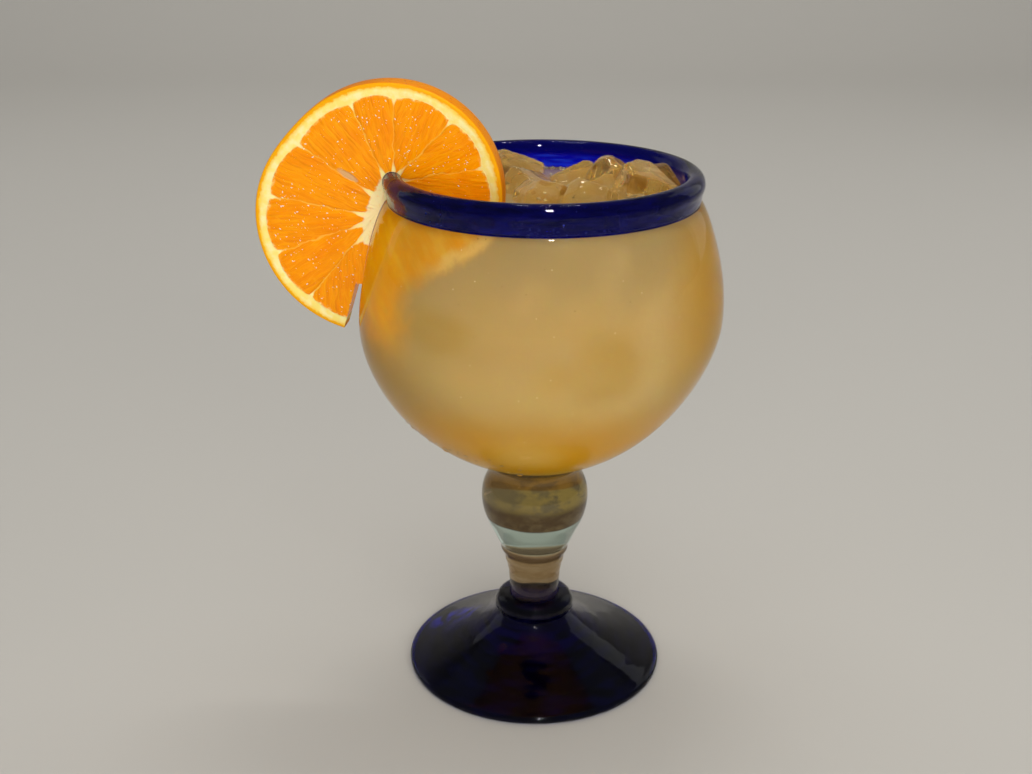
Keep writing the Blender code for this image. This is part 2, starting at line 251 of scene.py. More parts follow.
class Shader:
    """A material of nodes round one Principled shader."""

    def __init__(self, name, constants):
        self.material = bpy.data.materials.new(name)
        self.material.use_nodes = True
        self.tree = self.material.node_tree
        self.principled = self.tree.nodes["Principled BSDF"]
        for socket, value in constants.items():
            self.surface(socket, value)

    def feed(self, socket, value):
        if isinstance(value, Value):
            self.tree.links.new(value.socket, socket)
        elif socket.type == "RGBA" and len(value) == 3:
            socket.default_value = (*value, 1)
        else:
            socket.default_value = value

    def surface(self, socket, value):
        self.feed(self.principled.inputs[socket], value)

    def node(self, kind, settings=None, inputs=None, output=0):
        """One node: its settings first, then its sockets. A tuple of outputs gives a list."""
        made = self.tree.nodes.new(kind)
        for key, value in (settings or {}).items():
            setattr(made, key, value)
        for key, value in (inputs or {}).items():
            self.feed(made.inputs[key], value)
        if isinstance(output, tuple):
            return [Value(self, made.outputs[key]) for key in output]
        return Value(self, made.outputs[output])

    def place(self, scale=1000.0):
        """Object coordinates, by default in millimetres."""
        spot = self.node("ShaderNodeTexCoord", output="Object")
        return self.node(
            "ShaderNodeVectorMath", {"operation": "SCALE"}, {0: spot, "Scale": scale}
        )

    def stretch(self, vector, by):
        return self.node("ShaderNodeVectorMath", {"operation": "MULTIPLY"}, {0: vector, 1: by})

    def point(self, *sides):
        return self.node("ShaderNodeCombineXYZ", inputs=dict(enumerate(sides)))

    def far(self, *sides):
        """How far a point with these sides is from their origin."""
        spot = self.point(*sides)
        return self.node("ShaderNodeVectorMath", {"operation": "LENGTH"}, {0: spot}, "Value")

    def split(self, vector):
        return self.node("ShaderNodeSeparateXYZ", inputs={0: vector}, output=(0, 1, 2))

    def noise(self, vector, scale, detail=2.0, roughness=0.5, distortion=0.0):
        return self.node(
            "ShaderNodeTexNoise",
            {"noise_dimensions": "3D"},
            {
                "Vector": vector,
                "Scale": scale,
                "Detail": detail,
                "Roughness": roughness,
                "Distortion": distortion,
            },
        )

    def cells(self, vector, scale, feature="F1", output="Distance", uneven=1.0):
        return self.node(
            "ShaderNodeTexVoronoi",
            {"feature": feature},
            {"Vector": vector, "Scale": scale, "Randomness": uneven},
            output,
        )

    def mask(self, value, low, high):
        """0 at low and 1 at high, eased between."""
        return self.node(
            "ShaderNodeMapRange",
            {"interpolation_type": "SMOOTHSTEP"},
            {"Value": value, 1: low, 2: high},
        )

    def mix(self, first, second, share):
        return self.node(
            "ShaderNodeMix", {"data_type": "RGBA"}, {0: share, 6: first, 7: second}, 2
        )

    def bump(self, height, strength, distance):
        """Height in millimetres becomes the surface's normal."""
        return self.node(
            "ShaderNodeBump",
            inputs={"Strength": strength, "Distance": distance * MM, "Height": height},
        )

    def absorb(self, shade, density):
        """Colour taken up with depth, for a closed piece of glass."""
        out = self.tree.nodes["Material Output"]
        taken = self.node("ShaderNodeVolumeAbsorption", inputs={"Color": shade, "Density": density})
        self.tree.links.new(taken.socket, out.inputs["Volume"])


def bowl_glass(settings):
    shader = Shader(
        "clear_glass",
        {"Base Color": tuple(settings.clear), "Transmission Weight": 1.0, "IOR": 1.22},
    )
    spot = shader.place()
    up = shader.split(spot)[2]
    streaks = shader.noise(shader.stretch(spot, (1, 1, 2.2)), 0.03, 1.0)
    film = shader.mask(shader.noise(spot, 0.07, 3.0), 0.55, 0.75) * 0.03
    shader.surface("Roughness", film + shader.mask(up, 106.0, 92.0) * 0.22)
    shader.surface("Normal", shader.bump(streaks, 0.5, 1.2))
    return shader.material


def stem_glass(settings):
    """Clear glass tinted aqua, with painted reflection: brown, olive and dark bands stand in for the
    drink and floor seen through it.
    """
    shader = Shader("stem_glass", {"Transmission Weight": 1.0, "IOR": 1.38})
    spot = shader.place()
    up = shader.split(spot)[2] + (shader.noise(spot, 0.08, 1.0) - 0.5) * 1.6
    across, deep, _ = shader.split(spot)
    mottle = shader.noise(shader.stretch(spot, (1, 1, 1.6)), 0.13, 4.0, 0.65)
    # Painted reflection: a brown neck, a dark arc, a dark band and a mottled olive bulb top
    shade = shader.mix((0.33, 0.21, 0.09), (0.42, 0.31, 0.17), shader.mask(mottle, 0.35, 0.65))
    arc = shader.mask(abs(up - DARK_ARC), 1.9, 0.9)
    shade = shader.mix(shade, (0.08, 0.045, 0.02), arc)
    shade = shader.mix(shade, tuple(settings.stem), shader.mask(up, *AQUA_FROM))
    band = shader.mix((0.024, 0.007, 0.001), (0.075, 0.03, 0.006), shader.mask(mottle, 0.45, 0.65))
    olive = shader.mix((0.27, 0.125, 0.01), (0.09, 0.048, 0.012), shader.mask(mottle, 0.42, 0.6))
    # Painted shade: the olive is darker to the left
    olive = shader.mix(olive, (0.1, 0.05, 0.012), shader.mask(across, 3.0, -12.0) * 0.6)
    olive = shader.mix(band, olive, shader.mask(up, *OLIVE_FROM))
    # Painted reflection: a paler olive on the back half
    olive = shader.mix(olive, (0.42, 0.27, 0.09), shader.mask(deep, -3.0, 5.0))
    shade = shader.mix(shade, olive, shader.mask(up, *BROWN_FROM))
    shader.surface("Base Color", shade)
    streaks = shader.noise(shader.stretch(spot, (1, 1, 2.2)), 0.05, 1.0)
    shader.surface("Roughness", shader.mask(mottle, 0.5, 0.7) * 0.05)
    shader.surface("Normal", shader.bump(streaks, 0.5, 1.0))
    return shader.material


def cobalt_glass(name, settings, depth, ior):
    """Deep blue glass that takes up light with depth, with a painted blue glow, glints and a darker
    top.
    """
    shader = Shader(name, {"Transmission Weight": 1.0, "IOR": ior, "Emission Strength": 1.0})
    spot = shader.place()
    across, deep, up = shader.split(spot)
    # Painted shade: the glass is darker over the top of the lip's roll
    painted_top_shade = shader.mask(up, 162.5, 166.0)
    shader.surface("Base Color", shader.mix((0.8, 0.84, 1.0), (0.3, 0.3, 0.42), painted_top_shade))
    draw = shader.noise(shader.stretch(spot, (1, 1, 5)), 0.045, 2.0)
    film = shader.mask(shader.noise(spot, 0.11, 3.0), 0.5, 0.75)
    shader.surface("Roughness", film * 0.04 + 0.01)
    shader.surface("Normal", shader.bump(draw, 0.4, 1.0))
    # Painted glow and glints, as emission: mottled along drawn rings, on the foot's shoulder, a glint
    # at its back left, and round the lip
    rings = shader.noise(shader.stretch(spot, (0.35, 0.35, 2.6)), 0.35, 2.0)
    glow = shader.mix((0.0, 0.0, 0.001), (0.0004, 0.0004, 0.008), shader.mask(rings, 0.45, 0.7))
    shoulder = shader.mask(abs(up - 14.5), 5.0, 1.0) * shader.mask(rings, 0.3, 0.6)
    glow = shader.mix(glow, (0.0006, 0.0, 0.016), shoulder)
    # Painted glint: a bright blue patch low on the foot's back left
    thin = shader.mask(abs(across + 27.0), 11.0, 3.0) * shader.mask(abs(deep - 13.0), 7.0, 2.0)
    thin = thin * shader.mask(up, 20.0, 9.0)
    glow = shader.mix(glow, (0.001, 0.0, 0.2), thin * shader.mask(rings, 0.4, 0.6) * 0.8)
    # Painted glow: blue streaks on the back of the lip's inner wall, and a soft glow on its front
    lip = shader.mask(up, 120.0, 140.0)
    back = shader.mask(deep, 24.0, 38.0) * shader.mask(up, 163.8, 162.4) * lip
    streaks = shader.mix((0.0, 0.0, 0.1), (0.004, 0.016, 0.2), shader.mask(rings, 0.5, 0.62))
    glow = shader.mix(glow, streaks, back)
    front = lip * shader.mask(deep, 10.0, -10.0) * (0.3 + shader.mask(rings, 0.4, 0.6) * 0.6)
    glow = shader.mix(glow, (0.001, 0.0008, 0.034), front)
    shader.surface("Emission Color", glow)
    shader.absorb(tuple(settings.cobalt), depth)
    return shader.material


def cloudy_drink(settings):
    shader = Shader(
        "cloudy_drink",
        {
            "Roughness": 0.3,
            "IOR": 1.12,
            "Subsurface Weight": 0.6,
            "Subsurface Radius": (1.0, 0.55, 0.15),
            "Subsurface Scale": 0.016,
            "Coat Roughness": 0.04,
            "Coat IOR": 1.33,
            "Emission Strength": 1.0,
        },
    )
    spot = shader.place()
    across, deep, up = shader.split(spot)
    body, low = tuple(settings.body), tuple(settings.low)
    # Painted shade and light: duller at the top, palest round the belly, golden at the bottom and
    # towards the sides
    drift = (shader.noise(spot, 0.035, 2.0) - 0.5) * 16.0
    shade = shader.mix(body, (0.385, 0.268, 0.108), shader.mask(up + drift, 132.0, 156.0))
    shade = shader.mix(shade, (0.505, 0.348, 0.12), shader.mask(up + drift, 128.0, 114.0))
    # Painted shade: darker blotches and two darker patches in front where sunk ice darkens the drink
    sunk_ice_shade = shader.noise(shader.stretch(spot, (1, 0.6, 1.1)), 0.026, 2.0, 0.45)
    shade = shader.mix(shade, (0.42, 0.26, 0.06), shader.mask(sunk_ice_shade, 0.5, 0.7) * 0.6)
    for x, z, wide in ((-28.0, 131.0, 12.0), (20.0, 127.0, 15.0)):
        far = shader.far(across - x, (up - z) * 1.5)
        patch = shader.mask(far + drift * 0.5, wide, 2.0) * shader.mask(deep, -10.0, -30.0)
        shade = shader.mix(shade, (0.42, 0.26, 0.055), patch * 0.6)
    pale = shader.noise(spot, 0.03, 2.0, 0.5)
    shade = shader.mix(shade, (0.58, 0.41, 0.17), shader.mask(pale, 0.5, 0.72) * 0.5)
    # Painted shade: golden towards the sides and the bottom
    flank = shader.mask(abs(across + 1.0) + drift * 0.25, 33.0, 54.0)
    shade = shader.mix(shade, (0.47, 0.235, 0.002), flank * 0.9)
    bottom = shader.mask(up + drift * 0.4, 114.0, 90.0)
    shade = shader.mix(shade, low, bottom)
    # Painted glow: the wheel's inner part, hidden by the opaque drink, is painted on it glowing
    # through as far as a fuzzy streak of its pith
    wander = (shader.noise(spot, 0.16, 3.0, 0.6) - 0.5) * 7.0
    aside, above = across - GLOW_LINE[0], up - GLOW_LINE[1]
    beyond = aside * -0.578 + above * 0.816 + wander * 0.6
    along = aside * 0.816 + above * 0.578
    front = shader.mask(deep, 20.0, 0.0)
    zone = shader.mask(beyond, -4.0, 3.0) * shader.mask(across, -6.0, -22.0) * front
    lines = shader.noise(shader.point(along * 0.16, beyond * 0.05), 1.0, 3.0, 0.6)
    peach = shader.mix((0.74, 0.31, 0.002), (0.76, 0.4, 0.03), shader.mask(lines, 0.42, 0.72))
    shade = shader.mix(shade, peach, zone * 0.9)
    edge = shader.mask(across + wander, -33.0, -46.0) * shader.mask(up + wander, 115.0, 132.0)
    edge = edge * front
    amber = shader.mix((0.97, 0.4, 0.0), (0.99, 0.5, 0.002), shader.mask(lines, 0.4, 0.7))
    shade = shader.mix(shade, amber, edge)
    fuzz = shader.noise(spot, 0.7, 3.0, 0.7) * 1.6
    streak = shader.mask(abs(beyond) + fuzz, 3.8, 0.2) * shader.mask(across, -33.0, -24.0)
    streak = streak * shader.mask(across, -8.0, -16.0) * front
    shade = shader.mix(shade, (0.84, 0.56, 0.16), streak * 0.6)
    # Painted highlight: a sparkle with rays, low at the front
    star = shader.far(across - SPARK[0], up - SPARK[2], deep - SPARK[1])
    shade = shader.mix(shade, (0.6, 0.4, 0.12), shader.mask(star, 17.0, 2.0) * 0.6)
    rays = shader.noise(shader.stretch(spot, (1.6, 1.0, 0.35)), 0.5, 2.0) * 4.0
    shade = shader.mix(shade, (0.95, 0.78, 0.4), shader.mask(star + rays, 5.0, 2.0) * 0.75)
    # Pulp and zest
    specks = shader.cells(spot, 0.33)
    thin = shader.mask(shader.noise(spot, 0.4, 1.0), 0.5, 0.62)
    shade = shader.mix(shade, (0.2, 0.1, 0.02), shader.mask(specks, 0.075, 0.035) * thin * 0.8)
    pulp = shader.cells(shader.stretch(spot, (1, 1, 1.2)), 0.21)
    shade = shader.mix(shade, (0.9, 0.75, 0.5), shader.mask(pulp, 0.05, 0.02) * 0.8)
    shader.surface("Base Color", shade)
    # Painted glow: emission towards the bottom
    depth = shader.mask(up, 108.0, 78.0)
    shader.surface("Emission Color", shader.mix((0.0, 0.0, 0.0), (0.13, 0.07, 0.001), depth))
    shader.surface("Coat Weight", shader.mask(up, 157.2, 157.7))
    top = shader.noise(spot, 0.25, 2.0)
    shader.surface("Normal", shader.bump(top, 0.3, 0.4))
    return shader.material


def wet_ice(settings):
    shader = Shader("wet_ice", {"Transmission Weight": 0.97, "IOR": 1.4})
    spot = shader.place()
    veil = shader.mask(shader.noise(spot, 0.09, 3.0, 0.6, 1.0), 0.45, 0.75)
    cracks = shader.noise(shader.stretch(spot, (1, 1, 0.4)), 0.3, 4.0, 0.7, 2.0)
    cracks = shader.mask(cracks, 0.6, 0.68)
    shade = shader.mix(tuple(settings.tint), (0.97, 0.84, 0.58), veil * 0.8)
    shade = shader.mix(shade, (0.97, 0.9, 0.76), cracks * 0.7)
    shader.surface("Base Color", shade)
    shader.surface("Roughness", veil * 0.08 + 0.01)
    dents = shader.noise(spot, 0.13, 2.0, 0.5) + shader.noise(spot, 0.8, 1.0) * 0.08
    shader.surface("Normal", shader.bump(dents, 0.5, 1.2))
    return shader.material


def orange_wheel_finish(settings):
    """Flesh, skins, pith and peel by the wheel's map: across its segments and out from its core."""
    shader = Shader(
        "orange_wheel",
        {
            "IOR": 1.2,
            "Subsurface Weight": 0.15,
            "Subsurface Radius": (1.0, 0.35, 0.05),
            "Subsurface Scale": 0.002,
            "Coat Roughness": 0.05,
            "Coat IOR": 1.33,
            "Emission Strength": 1.0,
        },
    )
    flesh, pith, peel = tuple(settings.flesh), tuple(settings.pith), tuple(settings.peel)
    spot = shader.place()
    segment, out, _ = shader.split(shader.node("ShaderNodeUVMap", {"uv_map": "wheel"}))
    girth = shader.node("ShaderNodeAttribute", {"attribute_name": "girth"}, output="Fac")
    # Slender juice sacs fan out along each segment
    share = segment.fraction()
    number = segment - share
    bend = shader.noise(spot, 0.16, 2.0) - 0.5
    sideways = (share - 0.5) * girth * 0.72 + bend * 1.2
    grain = shader.point(sideways, out * 3.6 + bend * 0.6, number * 7.3)
    walls = shader.cells(grain, 1.0, "DISTANCE_TO_EDGE")
    sacs = shader.cells(grain, 1.0)
    tone = shader.split(shader.cells(grain, 1.0, output="Color"))[0]
    fibres = shader.noise(shader.stretch(grain, (2.6, 0.4, 1)), 1.4, 3.0, 0.6)
    shade = shader.mix(flesh, (0.86, 0.23, 0.0), shader.mask(tone, 0.3, 0.95) * 0.6)
    shade = shader.mix(shade, (0.99, 0.42, 0.002), shader.mask(fibres, 0.48, 0.7) * 0.5)
    shade = shader.mix(shade, (0.78, 0.17, 0.0), shader.mask(fibres, 0.44, 0.28) * 0.45)
    shade = shader.mix(shade, (0.97, 0.42, 0.008), shader.mask(walls, 0.1, 0.0) * 0.3)
    deeper = shader.noise(spot, 0.12, 2.0)
    shade = shader.mix(shade, (0.84, 0.22, 0.0), shader.mask(deeper, 0.48, 0.66) * 0.4)
    # Skins wander between the segments and widen into the core and the pith
    nearest = (segment + 0.5).fraction() - 0.5
    wander = (shader.noise(spot, 0.2, 2.0, 0.6) - 0.5) * 2.6
    away = abs(nearest * girth + wander * shader.mask(out, 0.0, 0.3) * shader.mask(out, 1.0, 0.85))
    ragged = (shader.noise(spot, 0.9, 2.0) - 0.5) * 0.5
    width = 0.12 + 0.7 * shader.mask(out, 0.18, 0.0) + 0.4 * shader.mask(out, 0.93, 1.0)
    width = width + ragged * 0.8
    skins = shader.mask(away - width, 0.28, -0.12) * shader.mask(out, 1.1, 1.0)
    fading = shader.mask(shader.noise(spot, 0.11, 1.0), 0.38, 0.62) * 0.5 + 0.35
    rooted = shader.mask(out, 0.26, 0.04) + shader.mask(out, 0.88, 1.0)
    skin_shade = shader.mix((0.99, 0.52, 0.06), (1.0, 0.84, 0.36), rooted)
    shade = shader.mix(shade, skin_shade, skins * (fading + rooted * 0.5))
    # Painted shade in a hollow between two segments, which the bump also presses in
    x, _, z = shader.split(spot)
    x, z = x - HOLLOW[0], z - HOLLOW[1]
    along, across = x * 0.855 - z * 0.52, x * 0.52 + z * 0.855
    hollow = shader.far(along * 0.32, across)
    hollow = shader.mask(hollow + ragged, 1.3, 0.7) * shader.mask(out, 1.0, 0.9)
    shade = shader.mix(shade, (0.6, 0.42, 0.24), hollow * 0.75)
    # Pith, uneven where it meets flesh and rind
    edge = shader.noise(spot, 0.55, 3.0, 0.6) - 0.5
    pithy = shader.mask(out + edge * 0.14, 0.98, 1.03)
    whiter = shader.mask(shader.noise(spot, 0.35, 3.0), 0.35, 0.7)
    creamy = shader.mix(pith, (1.0, 0.87, 0.42), whiter)
    creamy = shader.mix(creamy, (1.0, 0.62, 0.04), shader.mask(out, 1.6, 2.0) * 0.7)
    shade = shader.mix(shade, creamy, pithy)
    core = shader.mask(out + edge * 0.1, 0.035, 0.0)
    shade = shader.mix(shade, (0.95, 0.84, 0.45), core)
    rind = shader.mask(out + edge * 0.9, 1.93, 2.15)
    shade = shader.mix(shade, (0.95, 0.42, 0.004), rind)
    pores = shader.cells(spot, 0.75)
    blush = shader.noise(spot, 0.05, 2.0)
    skin_tone = shader.mix(peel, (0.76, 0.21, 0.001), shader.mask(blush, 0.4, 0.7))
    skin_tone = shader.mix(skin_tone, (0.6, 0.15, 0.001), shader.mask(pores, 0.3, 0.1) * 0.6)
    outer = shader.mask(out, 2.8, 3.15)
    shade = shader.mix(shade, skin_tone, outer)
    shader.surface("Base Color", shade)
    dry = shader.mask(out, 0.95, 1.1)
    shader.surface("Roughness", 0.26 + dry * 0.35 - outer * 0.15)
    shader.surface("Coat Weight", (1 - dry) * 0.3)
    # Painted glow: emission that stands in for light soaking through the flesh
    shader.surface("Emission Color", shader.mix((0.09, 0.028, 0.0), (0.0, 0.0, 0.0), dry))
    domes = shader.mask(sacs, 0.62, 0.0) + fibres * 0.7 + shader.noise(spot, 1.1, 2.0) * 0.35
    dimples = (1 - shader.mask(pores, 0.45, 0.1)) * 0.35 * outer
    fluff = shader.noise(spot, 1.6, 3.0) * 0.25 * dry
    relief = domes * (1 - dry) * (1 - skins * 0.8) - hollow * 1.5
    shader.surface("Normal", shader.bump(relief + dimples + fluff, 0.7, 0.4))
    return shader.material


def bead_finish(name, shade, transmission, ior, roughness):
    shader = Shader(name, {"Transmission Weight": transmission, "IOR": ior})
    spot = shader.place()
    tone = shader.mask(shader.noise(spot, 0.4, 1.0), 0.3, 0.7)
    shader.surface("Base Color", shader.mix(shade, tuple(c * 0.85 for c in shade), tone))
    shader.surface("Roughness", tone * 0.05 + roughness)
    return shader.material


def stage_finish(settings):
    shader = Shader("pale_floor", {"Roughness": 0.62})
    floor = tuple(settings.floor)
    soft = shader.noise(shader.place(1.0), 1.7, 3.0)
    tone = shader.mix(floor, tuple(c * 0.965 for c in floor), soft)
    shader.surface("Base Color", tone)
    return shader.material


# Shapes shared with the CAD source


def curve(start, pull, push, end, steps):
    """Points of a cubic curve from start up to, but not including, end."""
    a, b, c, d = (Vector(p) for p in (start, pull, push, end))
    points = []
    for i in range(steps):
        t = i / steps
        s = 1 - t
        points.append(tuple(a * s**3 + b * 3 * s * s * t + c * 3 * s * t * t + d * t**3))
    return points


def lean(height):
    """How far sideways the glass has drifted at this height."""
    t = min(1.0, max(0.0, (height - LEAN_FROM) / (LEAN_TO - LEAN_FROM)))
    return MOUTH_SHIFT * t * t * (3 - 2 * t)


def bowl_inside(grow=0.0, steps=30):
    """The inner wall from the lip down to the middle of the floor, moved inward by grow."""
    r, z = BELLY[0] - WALL - grow, BELLY[1]
    top = (BOWL_TOP[0] - WALL - grow, BOWL_TOP[1])
    floor = BOWL_FLOOR + grow
    upper = curve(top, (top[0] + 2.5, top[1] - 2), (r, z + 15), (r, z), steps)
    lower = curve((r, z), (r, z - 20), (32 - grow, floor), (0, floor), steps)
    return [*upper, *lower, (0, floor)]


def bowl_outside(steps=30):
    """The outer wall from the middle of its underside up to the lip."""
    r, z = BELLY
    lower = curve((0, BOWL_BOTTOM), (33, BOWL_BOTTOM), (r, z - 20), (r, z), steps)
    upper = curve((r, z), (r, z + 15), (BOWL_TOP[0] + 2.5, BOWL_TOP[1] - 2), BOWL_TOP, steps)
    return [*lower, *upper, BOWL_TOP]


def lip_profile(grow=0.0, foot=BOWL_TOP[1] + 0.3, steps=40):
    """Round the lip from its outer foot over the top to its inner foot."""
    r, z = LIP
    a, b = LIP_HALF[0] + grow, LIP_HALF[1] + grow
    roll = [(BOWL_TOP[0] - 0.1 + grow, foot)]
    for i in range(steps + 1):
        t = math.radians(-28 + 236 * i / steps)
        roll.append((r + a * math.cos(t), z + b * math.sin(t)))
    return [*roll, (BOWL_TOP[0] - WALL + 0.1 - grow, foot)]


def outline(angle, grow=0.0):
    """The wheel's radius at this many degrees, anticlockwise from the right."""
    radius = WHEEL_RADIUS + grow
    for times, height, turned_to in WHEEL_WAVES:
        radius += height * math.cos(math.radians(times * (angle - turned_to)))
    where, width, depth = WHEEL_FLAT
    return radius - depth * math.exp(-(((angle % 360 - where) / width) ** 2))


def polar(angle, radius):
    return Vector((radius * math.cos(math.radians(angle)), radius * math.sin(math.radians(angle))))


def core_point(angle):
    """A point on the core's edge, at this many degrees round its own long axis."""
    long, short = CORE_HALF
    t = math.radians(angle)
    spot = Vector((long * math.cos(t), short * math.sin(t)))
    spot.rotate(Matrix.Rotation(math.radians(CORE_LEAN), 2))
    return spot + Vector(CORE)


def wheel_matrix():
    turn = Matrix.Rotation(math.radians(WHEEL_TURN), 3, "Z")
    return turn @ Matrix.Rotation(math.radians(WHEEL_TIP), 3, "X")


def place_wheel(bm):
    bmesh.ops.rotate(bm, verts=bm.verts, cent=(0, 0, 0), matrix=wheel_matrix())
    bmesh.ops.translate(bm, verts=bm.verts, vec=WHEEL_CENTRE)


# Mesh helpers


def ripple(angle, height, size):
    """How far the blown wall falls short of a true circle, never past it."""
    slow = math.sin(2 * angle + 0.7 + height / 40) + math.sin(3 * angle - 1.2 + height / 25)
    return -size * (2.3 + slow / 2) / 2


def turned(profile, closed=False, around=AROUND, uneven=0.0):
    """A piece turned about Z from (radius, height) points, leaning as the goblet does."""
    bm = bmesh.new()
    rings = []
    for r, z in profile:
        if r < 1e-6:
            rings.append([bm.verts.new((lean(z), 0, z))])
            continue
        ring = []
        for k in range(around):
            a = math.tau * k / around
            reach = r + ripple(a, z, uneven)
            ring.append(bm.verts.new((reach * math.cos(a) + lean(z), reach * math.sin(a), z)))
        rings.append(ring)
    pairs = list(zip(rings, rings[1:]))
    if closed:
        pairs.append((rings[-1], rings[0]))
    for low, high in pairs:
        for k in range(around):
            n = (k + 1) % around
            corners = [ring[i % len(ring)] for ring, i in ((low, k), (low, n), (high, n), (high, k))]
            corners = list(dict.fromkeys(corners))
            if len(corners) > 2:
                bm.faces.new(corners)
    bmesh.ops.recalc_face_normals(bm, faces=bm.faces)
    return bm


def finish(name, bm, surface, smooth=True, sharp=None):
    """Turn millimetres into metres and add the piece to the scene."""
    bmesh.ops.scale(bm, vec=(MM, MM, MM), verts=bm.verts)
    mesh = bpy.data.meshes.new(name)
    bm.to_mesh(mesh)
    bm.free()
    if smooth:
        mesh.shade_smooth()
    if sharp:
        mesh.set_sharp_from_angle(angle=math.radians(sharp))
    mesh.materials.append(surface)
    made = bpy.data.objects.new(name, mesh)
    bpy.context.scene.collection.objects.link(made)
    return made


def settle(obj):
    """Apply the object's modifiers to its mesh."""
    bpy.context.view_layer.update()
    graph = bpy.context.evaluated_depsgraph_get()
    mesh = bpy.data.meshes.new_from_object(obj.evaluated_get(graph))
    obj.modifiers.clear()
    old = obj.data
    obj.data = mesh
    bpy.data.meshes.remove(old)
    mesh.name = obj.name


def boolean(target, cutter):
    step = target.modifiers.new("cut", "BOOLEAN")
    step.operation = "DIFFERENCE"
    step.solver = "MANIFOLD"
    step.object = cutter
    settle(target)
    bpy.data.objects.remove(cutter)


def stand_for(piece, *nodes, slot=None):
    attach(piece, "root")
    if nodes:
        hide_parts(*nodes)


# Goblet


def drawn_ridges(height):
    """Faint rings round the neck, left where the stem was drawn out."""
    return sum(rise * math.exp(-(((height - at) / wide) ** 2)) for at, wide, rise in NECK_RINGS)


def goblet_clear(settings):
    """The bowl, and the stem with the pinch where its bulb was joined on."""
    start = COLLAR_TOP - 1.6
    neck = (NECK_RADIUS, COLLAR_TOP + 0.3)
    stem = curve(neck, (NECK_RADIUS, neck[1] + 20), (BULB[0], BULB[1] - 11), BULB, 110)
    stem = [(r + drawn_ridges(z), z) for r, z in stem]
    bulb = curve(BULB, (BULB[0], BULB[1] + 5.5), (BULB_TOP[0] + 0.6, BULB_TOP[1] - 3), BULB_TOP, 12)
    underside = [(r, z + REACH) for r, z in bowl_outside(60) if r < 18.6]
    pinch = (BULB_TOP[0] - 0.25, BULB_TOP[1] + 1.2), (BULB_TOP[0] + 0.9, BULB_TOP[1] + 3.6)
    joint = curve(BULB_TOP, pinch[0], pinch[1], underside[-1], 8)
    profile = [(0, start), (NECK_RADIUS, start), *stem, *bulb, *joint, *underside[::-1]]
    rippled = settings.ripple / MM
    stem = turned(profile, uneven=rippled)
    stem_piece = finish("goblet_stem_glass", stem, stem_glass(settings), sharp=50)
    stem_piece.visible_shadow = False
    stand_for(stem_piece, "goblet_stem", slot="clear_glass")
    bowl = turned([*bowl_outside(60), *bowl_inside()], uneven=rippled)
    bowl_piece = finish("goblet_bowl_glass", bowl, bowl_glass(settings), sharp=50)
    bowl_piece.visible_shadow = False
    stand_for(bowl_piece, "goblet_bowl", slot="clear_glass")


def goblet_lip(settings):
    profile = lip_profile(foot=BOWL_TOP[1] - REACH)
    bm = turned(profile, closed=True, uneven=settings.ripple / MM)
    glass = cobalt_glass("lip_glass", settings, settings.lip_depth, 1.25)
    stand_for(finish("cobalt_lip", bm, glass, sharp=50), "goblet_lip", slot="lip_glass")


def goblet_foot(settings):
    edge = FOOT_EDGE / 2
    rim = curve(
        (FOOT_FLAT_RADIUS, 0), (FOOT_RADIUS, 0), (FOOT_RADIUS, edge - 0.6), (FOOT_RADIUS, edge), 6
    )
    fall = (FOOT_RADIUS - 1.6, FOOT_EDGE)
    bend = (FOOT_RADIUS, edge + 0.7), (FOOT_RADIUS - 0.8, FOOT_EDGE - 0.2)
    brow = curve((FOOT_RADIUS, edge), *bend, fall, 6)
    cone = curve(fall, (29, 7.2), (18, 11.6), CONE_TOP, 26)
    bend = (CONE_TOP[0] - 0.6, GROOVE[1] - 0.4), (GROOVE[0] - 0.1, GROOVE[1])
    groove = curve(CONE_TOP, *bend, GROOVE, 4)
    bend = (GROOVE[0] + 0.2, GROOVE[1] + 0.2), (COLLAR[0], COLLAR[1] - 1.6)
    under = curve(GROOVE, *bend, COLLAR, 7)
    top = (NECK_RADIUS + 0.6, COLLAR_TOP)
    collar = curve(COLLAR, (COLLAR[0] + 0.1, 23.2), (11.2, COLLAR_TOP), top, 14)
    profile = [(0, 0), (20, 0), *rim, *brow, *cone, *groove, *under, *collar, top, (0, COLLAR_TOP)]
    bm = turned(profile, uneven=settings.ripple / MM)
    glass = cobalt_glass("foot_glass", settings, settings.foot_depth, 1.3)
    stand_for(finish("cobalt_foot", bm, glass, sharp=50), "goblet_foot", slot="foot_glass")


# Drink


def drink_piece(settings, glass):
    """The drink up to its level, creeping up the glass and reaching just into the wall."""
    wall = bowl_inside(-REACH, 40)
    creep = settings.creep / MM
    below = [p for p in wall if p[1] <= LEVEL + creep]
    rim, height = below[0]
    top = [(rim * k / 14, LEVEL) for k in range(14)]
    edge = curve((rim * 0.95, LEVEL), (rim - 1.1, LEVEL), (rim - 0.2, LEVEL + 0.2), below[0], 8)
    bm = turned([*top, *edge, *below], uneven=glass.ripple / MM)
    for vert in bm.verts:
        spot = vert.co
        far = math.hypot(spot.x - lean(LEVEL), spot.y)
        if abs(spot.z - LEVEL) < 0.01 and far < rim * 0.94:
            spot.z += 0.35 * noise.noise(spot * 0.09)
    stand_for(finish("cloudy_drink", bm, cloudy_drink(settings), sharp=60), "drink", slot="drink")


# Ice


